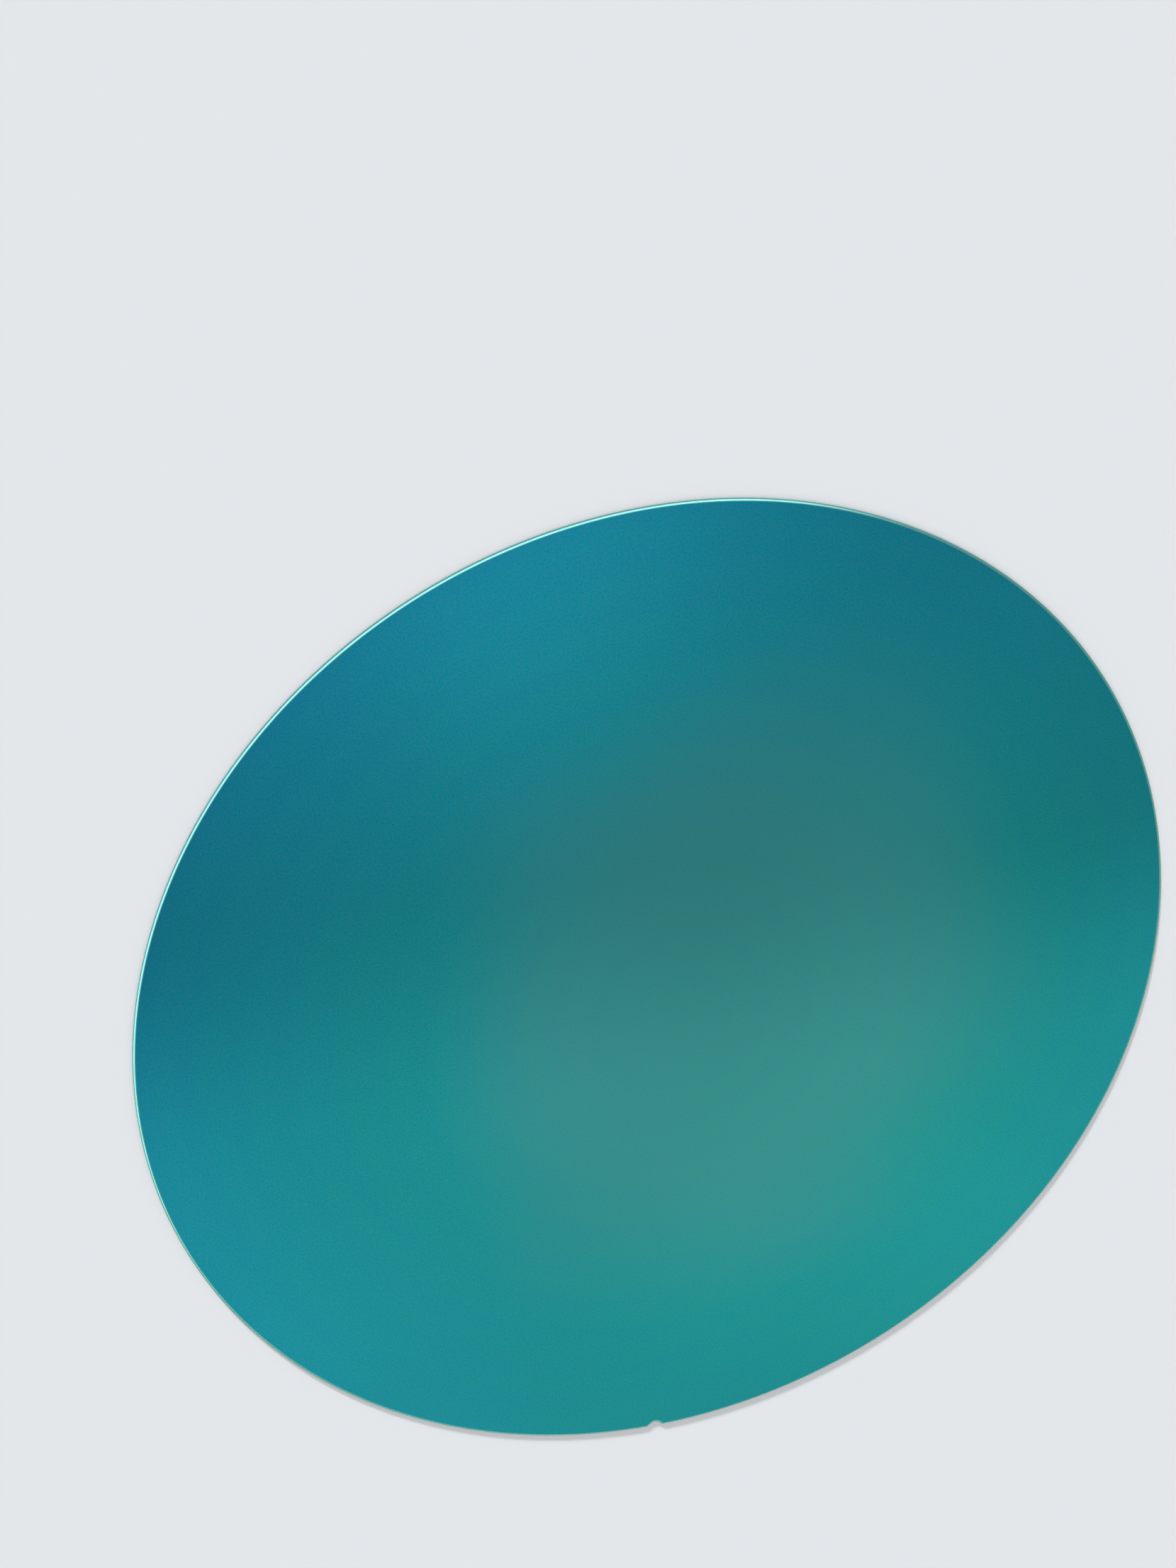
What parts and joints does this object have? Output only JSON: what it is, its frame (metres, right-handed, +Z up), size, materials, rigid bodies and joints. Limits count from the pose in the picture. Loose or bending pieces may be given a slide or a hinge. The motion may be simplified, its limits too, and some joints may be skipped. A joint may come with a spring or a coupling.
{
  "type": "silicon nitride wafer",
  "caption": "Thin polished round silicon wafer with a teal nitride film, a ground bevelled edge and a small rounded V notch for alignment.",
  "frame": {"origin": "centre of the back face, which the wafer lies on", "axes": "+Z up out of the polished face; the alignment notch is on the -Y side; +X to the right when the notch is nearest the viewer"},
  "size_m": [0.2, 0.2, 0.0007],
  "materials": {
    "nitride_film": "mirror polished, with the teal interference colour of a nitride film; the back face is duller"
  },
  "bodies": {
    "root": {"wafer": "nitride_film"}
  },
  "joints": []
}
